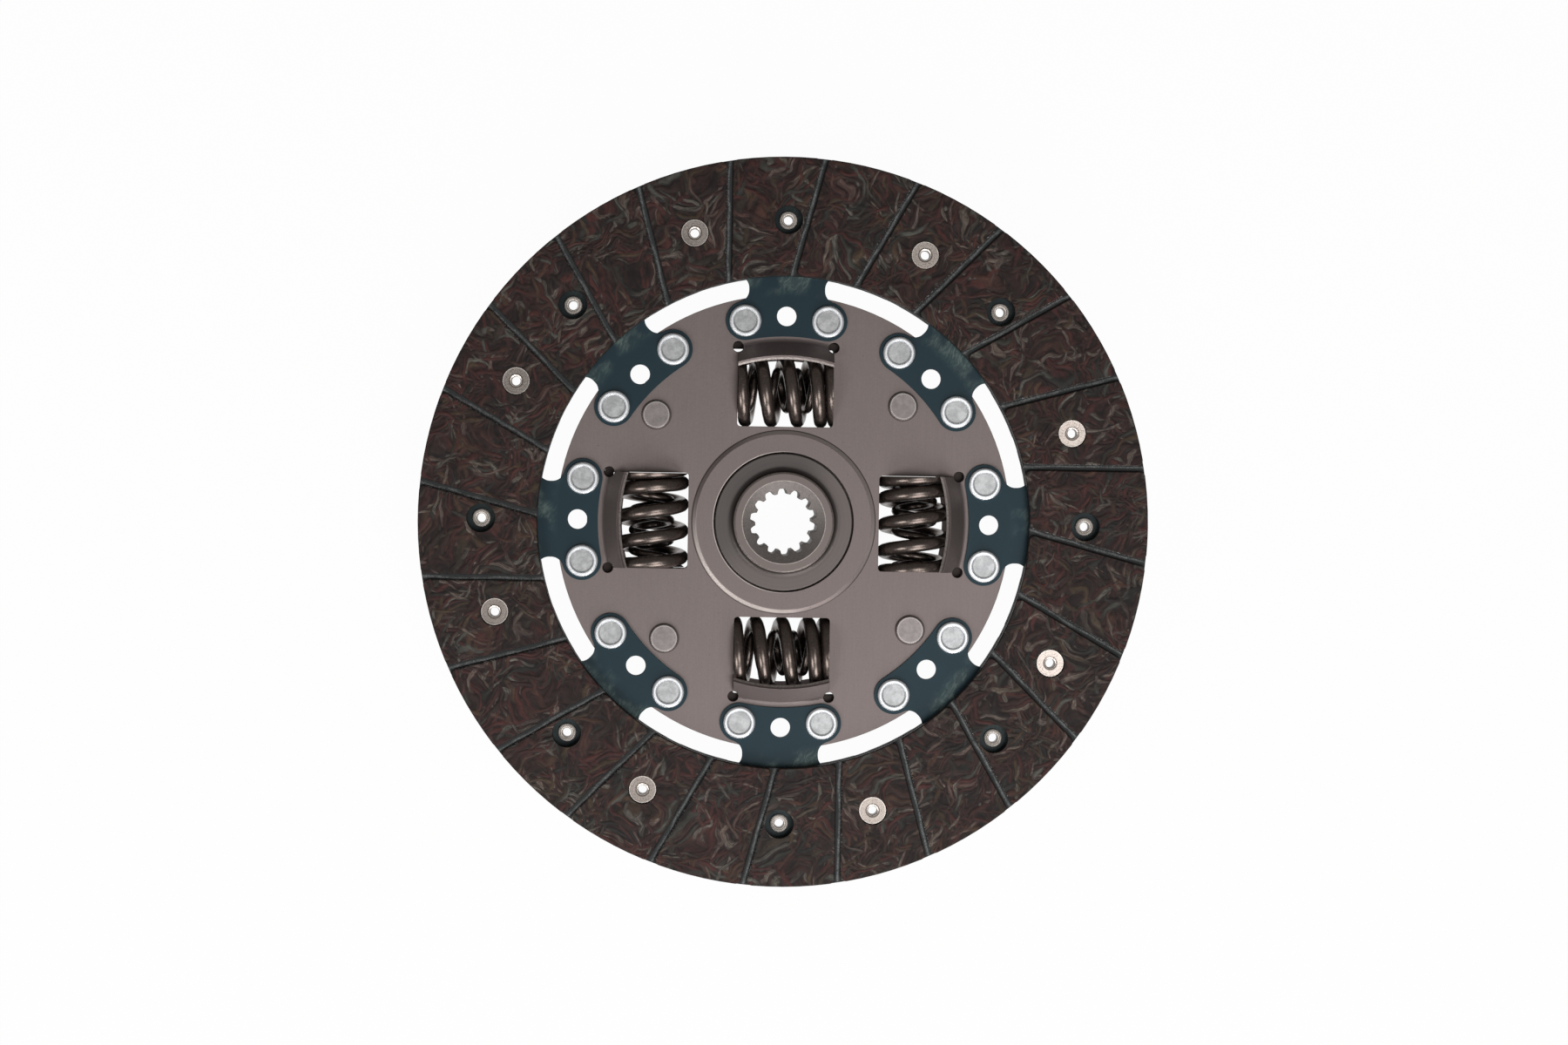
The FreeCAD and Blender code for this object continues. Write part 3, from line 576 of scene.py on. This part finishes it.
def zinc_finish(settings):
    """Bright plated rivets with a raised ring and a grey dished middle."""
    f = Finish("zinc_rivet")
    turn = abs(f.fold(f.bearing, SEGMENT_COUNT) * DEGREE) - math.radians(SEGMENT_RIVET_ANGLE)
    distance = f.off_centre(turn, SEGMENT_RIVET_R)
    grain = f.noise(f.mm, 1.6, 4.0, 0.65)
    blotch = f.noise(f.mm, 0.5, 3.0, 0.6)
    middle = f.mix(f.step(blotch, 0.3, 0.7), tint(160, 161, 162), tint(188, 189, 190))
    dish = f.step(distance, SEGMENT_RIVET_DISH_R + 0.2, SEGMENT_RIVET_DISH_R - 0.2)
    colour = f.mix(dish, settings.zinc, middle)
    # Painted shade at the edge of the dish
    painted_rim = f.band(distance, SEGMENT_RIVET_DISH_R - 0.15, SEGMENT_RIVET_DISH_R, 0.15)
    colour = f.mix(painted_rim * 0.4, colour, tint(96, 96, 96))
    # Painted light: the rivets are made brighter toward the right
    colour = f.brighten(colour, 0.76 + grain * 0.4 + f.step(f.x, 20.0, 60.0) * 0.14)
    return f.surface(colour, 0.42 + grain * 0.14, 0.8, f.bump(grain, 0.04, 0.6, 0.3))


def facing_rivet_finish(settings):
    """Plated tubular rivets: worn flat heads, bright rolled collars, with painted light and
    shade.
    """
    f = Finish("facing_rivet_steel")
    grain = f.noise(f.mm, 2.2, 4.0, 0.65)
    turned, straight = (
        f.off_centre(f.fold(f.bearing - start, FACING_RIVET_COUNT) * DEGREE, FACING_RIVET_R)
        for start in (FACING_TURN, 0.0)
    )
    distance = f.maths("MINIMUM", turned, straight)
    # Each row shows its heads on one face and its rolled collars on the other
    front = f.step(f.z, -0.1, 0.1)
    head = f.mix_values(front, straight, turned)
    collar = f.mix_values(front, turned, straight)
    worn = f.noise(f.joined(distance * 4.0, f.bearing * 0.6, 0.0), 1.0, 3.0, 0.7)
    # Painted light: new marks the two heads on the far right, which are made brighter; painted
    # shade makes heads darker toward the left
    new = f.nearest(RIGHTMOST_FACING_RIVETS)
    new = f.step(new, FACING_RIVET_HEAD_R + 0.85, FACING_RIVET_HEAD_R + 0.45)
    level = 0.64 + grain * 0.3 + worn * 0.3 + new * 0.6 - f.step(f.x, 10.0, -50.0) * 0.3
    colour = f.brighten(settings.facing_rivet, level)
    rolled = f.step(collar, FACING_RIVET_COLLAR_R + 0.55, FACING_RIVET_COLLAR_R + 0.25)
    bell = f.step(head, FACING_RIVET_FLARE_R, FACING_RIVET_FLARE_R - 0.15)
    light = f.brighten(tint(248, 238, 228), 0.84 + grain * 0.3)
    colour = f.mix(f.larger(rolled, bell), colour, light)
    # Painted shade in the crease round the flare and at the mouth of the bore
    lip_ring = f.band(distance, FACING_RIVET_FLARE_R + 0.03, FACING_RIVET_FLARE_R + 0.2, 0.14)
    bore = f.step(distance, FACING_RIVET_BORE_R + 0.21, FACING_RIVET_BORE_R + 0.09)
    colour = f.mix(f.larger(lip_ring, bore) * 0.8, colour, tint(60, 50, 44))
    # Painted highlight on the outer edge of each head
    painted_rim = f.step(distance, FACING_RIVET_HEAD_R - 0.55, FACING_RIVET_HEAD_R - 0.25)
    colour = f.mix(painted_rim * 0.7, colour, tint(240, 230, 222))
    pits = f.step(f.noise(f.mm, 2.2, 3.0, 0.7), 0.46, 0.36)
    colour = f.mix(pits * (0.45 - rolled * 0.25), colour, tint(80, 68, 60))
    normal = f.bump(worn + grain, 0.06, 0.6, 0.12)
    return f.surface(colour, 0.36 + grain * 0.12, 0.85 - rolled * 0.7, normal)


def pin_finish(settings):
    """Formed heads of the stop pins."""
    f = Finish("stop_pin_steel")
    grain = f.noise(f.mm, 2.5, 4.0, 0.65)
    brushed = f.noise(f.joined(f.x * 2.6, f.y * 0.2, f.z), 1.0, 3.0, 0.6)
    blotch = f.noise(f.mm, 0.55, 4.0, 0.7)
    colour = f.brighten(settings.pin, 0.3 + grain * 0.2 + brushed * 0.2 + blotch * 0.86)
    # Painted highlight on the rounded edge of each head
    painted_rim = f.band(f.nearest(STOP_PINS), STOP_PIN_HEAD_R - 0.58, STOP_PIN_HEAD_R - 0.33, 0.2)
    colour = f.mix(painted_rim * 0.45, colour, tint(190, 182, 178))
    return f.surface(colour, 0.4 + grain * 0.1, 0.86, f.bump(grain, 0.025, 0.5, 0.2))


def spring_finish(name, settings, level):
    """Oil-tempered wire, brown-black with a warm gloss; a level below 1 gives a copy darkened as
    painted shade.
    """
    f = Finish(name)
    grain = f.noise(f.mm, 2.4, 3.0, 0.6)
    clouds = f.noise(f.mm, 0.3, 3.0, 0.6)
    scuffs = f.step(f.noise(f.mm, 1.1, 4.0, 0.75), 0.54, 0.68)
    colour = f.brighten(settings.spring, (0.56 + grain * 0.4 + clouds * 0.4) * level)
    colour = f.mix(scuffs * 0.4, colour, tint(136, 122, 114))
    rough = 0.22 + grain * 0.14 + scuffs * 0.16
    return f.surface(colour, rough, 0.92, f.bump(grain, 0.02, 0.5))


def plain_finish(name, colour, metallic, rough):
    """Inner washers: even stock with a fine grain."""
    f = Finish(name)
    grain = f.noise(f.mm, 3.0, 3.0, 0.6)
    colour = f.brighten(colour, 0.84 + grain * 0.3)
    return f.surface(colour, rough + grain * 0.1, metallic, f.bump(grain, 0.02, 0.5))


# Springs


def spring_line(diameter, wire, turns, closed, hand):
    """Centre line of a closed-end spring along Y, in millimetres."""
    coil_r = (diameter - wire) / 2
    closed_pitch = wire * SPRING_CLOSED_PITCH
    travel = SPRING_GROUND_LENGTH + wire * (1 - 2 * SPRING_TIP_SHARE)
    open_pitch = (travel - sum(closed) * closed_pitch) / (turns - sum(closed))

    def advance(turn):
        first = min(turn, closed[0]) * closed_pitch
        middle = max(0, min(turn, turns - closed[1]) - closed[0]) * open_pitch
        last = max(0, turn - (turns - closed[1])) * closed_pitch
        return first + middle + last - travel / 2

    points = []
    steps = math.ceil(turns * SPRING_STEPS_PER_TURN)
    for index in range(steps + 1):
        turn = turns * index / steps
        reach = min(SPRING_PITCH_BLEND, turn, turns - turn)
        place = (advance(turn - reach) + 2 * advance(turn) + advance(turn + reach)) / 4
        angle = hand * math.tau * (turn - SPRING_START_TURN)
        points.append((coil_r * math.sin(angle), place, coil_r * math.cos(angle)))
    return points


def spring_mesh(name, points, wire):
    """A round wire along the points, ground flat at both ends."""
    curve = bpy.data.curves.new(name, "CURVE")
    curve.dimensions = "3D"
    curve.bevel_depth = wire / 2 * MM
    curve.bevel_resolution = 6
    curve.use_fill_caps = True
    spline = curve.splines.new("POLY")
    spline.points.add(len(points) - 1)
    for point, place in zip(spline.points, points):
        point.co = (*(part * MM for part in place), 1.0)
    piece = bpy.data.objects.new(name, curve)
    bpy.context.scene.collection.objects.link(piece)
    choose(piece)
    bpy.ops.object.convert(target="MESH")
    piece = bpy.context.view_layer.objects.active
    bpy.ops.object.mode_set(mode="EDIT")
    bpy.ops.mesh.select_all(action="SELECT")
    bpy.ops.mesh.remove_doubles(threshold=1e-6)
    bpy.ops.mesh.normals_make_consistent(inside=False)
    for side in (-1, 1):
        # A coarser threshold takes points of the wire into the cut and doubles faces there
        bpy.ops.mesh.select_all(action="SELECT")
        bpy.ops.mesh.bisect(
            plane_co=(0, side * SPRING_GROUND_LENGTH / 2 * MM, 0), plane_no=(0, side, 0),
            use_fill=True, clear_outer=True, threshold=1e-7,
        )
    bpy.ops.object.mode_set(mode="OBJECT")
    bpy.ops.object.shade_smooth_by_angle(angle=math.radians(40))
    return piece


def choose(piece):
    """Makes one piece the only selected and the active one."""
    bpy.ops.object.select_all(action="DESELECT")
    piece.select_set(True)
    bpy.context.view_layer.objects.active = piece


def copy_of(piece, name, matrix):
    """A copy with its own mesh, with its place in the mesh."""
    twin = piece.copy()
    twin.data = piece.data.copy()
    twin.name = name
    bpy.context.scene.collection.objects.link(twin)
    twin.data.transform(matrix)
    return twin


def build_springs(kind, diameter, wire, turns, closed, hand, material):
    """Four springs of one kind, in millimetres, each in its window."""
    first = spring_mesh(kind, spring_line(diameter, wire, turns, closed, hand), wire)
    first.data.materials.append(material)
    for index in range(SPRING_SIDES):
        bearing = math.radians(index * 360 / SPRING_SIDES)
        roll = Matrix.Rotation(-math.radians(SPRING_ROLL[index]), 4, "Y")
        turn = Matrix.Rotation(math.pi if SPRING_TURNED[index] else 0, 4, "Z")
        shift = Matrix.Translation((SPRING_CIRCLE_R * MM, 0, SPRING_PLANE_Z * MM))
        place = Matrix.Rotation(bearing, 4, "Z") @ shift @ turn @ roll
        piece = copy_of(first, f"{kind}_wire_{index + 1}", place)
        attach(piece, "damper_springs")
        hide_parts(f"{kind}_{index + 1}")
        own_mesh(piece)
    bpy.data.objects.remove(first)


# Studio


def soft_box(name, place, width, power):
    """A square light that faces the disc."""
    lamp = bpy.data.lights.new(name, "AREA")
    lamp.shape = "SQUARE"
    lamp.size = width
    lamp.energy = power
    holder = bpy.data.objects.new(name, lamp)
    bpy.context.scene.collection.objects.link(holder)
    holder.location = place
    holder.rotation_mode = "QUATERNION"
    holder.rotation_quaternion = (-Vector(place)).to_track_quat("-Z", "Y")


def photo_camera():
    """The photo's camera: nearly straight above the front face, rolled by under a degree."""
    camera = bpy.data.cameras.new("photo_camera")
    camera.sensor_width = CAMERA_SENSOR
    camera.lens = CAMERA_LENS
    camera.clip_start = CAMERA_CLIP_START
    holder = bpy.data.objects.new("photo_camera", camera)
    bpy.context.scene.collection.objects.link(holder)
    back = Vector(CAMERA_FROM_AIM)
    holder.location = Vector((0, 0, FACING_FRONT_Z * MM)) + back
    back.normalize()
    right = Vector((0, 1, 0)).cross(back).normalized()
    upright = Matrix((right, back.cross(right), back)).transposed().to_quaternion()
    holder.rotation_mode = "QUATERNION"
    holder.rotation_quaternion = upright @ Quaternion((0, 0, 1), math.radians(CAMERA_ROLL))
    return holder


def floor_finish(settings):
    """Pale paper that shows as white and still takes a faint shadow."""
    f = Finish("studio_paper")
    paper = f.node("ShaderNodeBsdfDiffuse", None, {"Color": settings.floor})
    glow = f.node("ShaderNodeEmission", None, {"Color": (1, 1, 1, 1), "Strength": 1.0})
    camera = f.node("ShaderNodeLightPath", output="Is Camera Ray")
    mirrored, through = f.also(camera, "Is Glossy Ray"), f.also(camera, "Is Transmission Ray")
    mirrored = mirrored * f.step(f.radius, 300.0, 130.0)
    seen = f.larger(f.larger(camera, mirrored), through) * settings.glow
    shader = f.node("ShaderNodeMixShader", None, {0: seen, 1: paper, 2: glow})
    f.node("ShaderNodeOutputMaterial", None, {"Surface": shader})
    return f.material


# Operators


class FacingOperator(bpy.types.Operator):
    """Finishes both friction facings"""

    bl_idname = "clutch.facings"
    bl_label = "Friction facings"

    def execute(self, context):
        dress(facing_finish(context.scene.facing_look), "front_facing", "rear_facing")
        return {"FINISHED"}


class PlateOperator(bpy.types.Operator):
    """Finishes the damper plates, stop pins and hub"""

    bl_idname = "clutch.plates"
    bl_label = "Plates, pins and hub"

    def execute(self, context):
        settings = context.scene.metal_look
        dress(plate_finish(settings), "front_plate", "rear_plate")
        dress(pin_finish(settings), "stop_pins")
        dress(hub_finish(settings), "hub")
        return {"FINISHED"}


class SegmentOperator(bpy.types.Operator):
    """Finishes the cushion segments and the rivets"""

    bl_idname = "clutch.segments"
    bl_label = "Segments and rivets"

    def execute(self, context):
        settings = context.scene.metal_look
        segments = [f"cushion_segment_{index + 1}" for index in range(SEGMENT_COUNT)]
        dress(segment_finish(settings), *segments)
        dress(zinc_finish(settings), "segment_rivets")
        dress(facing_rivet_finish(settings), "front_facing_rivets", "rear_facing_rivets")
        return {"FINISHED"}


class FrictionPackOperator(bpy.types.Operator):
    """Finishes the washers and the bush round the hub"""

    bl_idname = "clutch.friction_pack"
    bl_label = "Friction pack"

    def execute(self, context):
        settings = context.scene.metal_look
        plastic = plain_finish("moulded_washer", settings.moulding, 0.0, 0.5)
        steel = plain_finish("support_steel", settings.support_washer, 0.85, 0.35)
        blued = plain_finish("cup_spring_steel", settings.cup_spring, 0.7, 0.3)
        dress(plastic, "front_friction_washer", "rear_friction_washer", "centring_bush")
        dress(steel, "support_washer")
        dress(blued, "cup_spring")
        return {"FINISHED"}


class SpringOperator(bpy.types.Operator):
    """Models the large and small damper springs in their windows"""

    bl_idname = "clutch.springs"
    bl_label = "Damper springs"

    def execute(self, context):
        sizes = context.scene.spring_sizes
        settings = context.scene.metal_look
        large = spring_finish("large_spring_wire", settings, 1.0)
        # The small springs, inside the large ones, take a darker copy of the wire as painted
        # shade
        small = spring_finish("small_spring_wire", settings, 0.7)
        build_springs(
            "outer_spring", sizes.outer_diameter / MM, sizes.outer_wire / MM, sizes.outer_turns,
            OUTER_SPRING_CLOSED, RIGHT_HAND, large,
        )
        build_springs(
            "inner_spring", sizes.inner_diameter / MM, sizes.inner_wire / MM, sizes.inner_turns,
            INNER_SPRING_CLOSED, LEFT_HAND, small,
        )
        return {"FINISHED"}


class StageOperator(bpy.types.Operator):
    """Sets the floor, the lights and the camera"""

    bl_idname = "clutch.stage"
    bl_label = "Studio"

    def execute(self, context):
        settings = context.scene.stage_look
        scene = context.scene
        floor_z = cad_box[0][2] - FLOOR_GAP
        bpy.ops.mesh.primitive_plane_add(size=FLOOR_WIDTH, location=(0, 0, floor_z))
        floor = context.active_object
        floor.name = "studio_floor"
        floor.data.materials.append(floor_finish(settings))
        for name, (place, width) in SOFT_BOXES.items():
            soft_box(f"{name}_light", place, width, getattr(settings, name))
        world = bpy.data.worlds.new("studio_room")
        world.use_nodes = True
        background = world.node_tree.nodes["Background"]
        background.inputs["Color"].default_value = tint(255, 252, 248)
        background.inputs["Strength"].default_value = settings.room
        scene.world = world
        scene.camera = photo_camera()
        scene.view_settings.view_transform = "Standard"
        return {"FINISHED"}


class ClutchPanel(bpy.types.Panel):
    """Lists the steps that dress the disc"""

    bl_idname = "VIEW3D_PT_clutch_disc"
    bl_label = "Clutch disc"
    bl_space_type = "VIEW_3D"
    bl_region_type = "UI"
    bl_category = "Clutch disc"

    def draw(self, context):
        for step in STEPS:
            self.layout.operator(step.bl_idname)
        for group, _ in GROUPS:
            values = getattr(context.scene, group)
            for name in values.bl_rna.properties.keys():
                if name not in ("rna_type", "name"):
                    self.layout.prop(values, name)


STEPS = (
    FacingOperator, PlateOperator, SegmentOperator, FrictionPackOperator, SpringOperator,
    StageOperator,
)
GROUPS = (
    ("facing_look", FacingLook), ("metal_look", MetalLook), ("spring_sizes", SpringSizes),
    ("stage_look", StageLook),
)


def register():
    for name, group in GROUPS:
        bpy.utils.register_class(group)
        setattr(bpy.types.Scene, name, PointerProperty(type=group))
    for step in STEPS:
        bpy.utils.register_class(step)
    bpy.utils.register_class(ClutchPanel)


def unregister():
    bpy.utils.unregister_class(ClutchPanel)
    for step in reversed(STEPS):
        bpy.utils.unregister_class(step)
    for name, group in reversed(GROUPS):
        delattr(bpy.types.Scene, name)
        bpy.utils.unregister_class(group)


def main():
    register()
    bpy.ops.clutch.facings()
    bpy.ops.clutch.plates()
    bpy.ops.clutch.segments()
    bpy.ops.clutch.friction_pack()
    bpy.ops.clutch.springs()
    bpy.ops.clutch.stage()


if __name__ == "__main__":
    main()
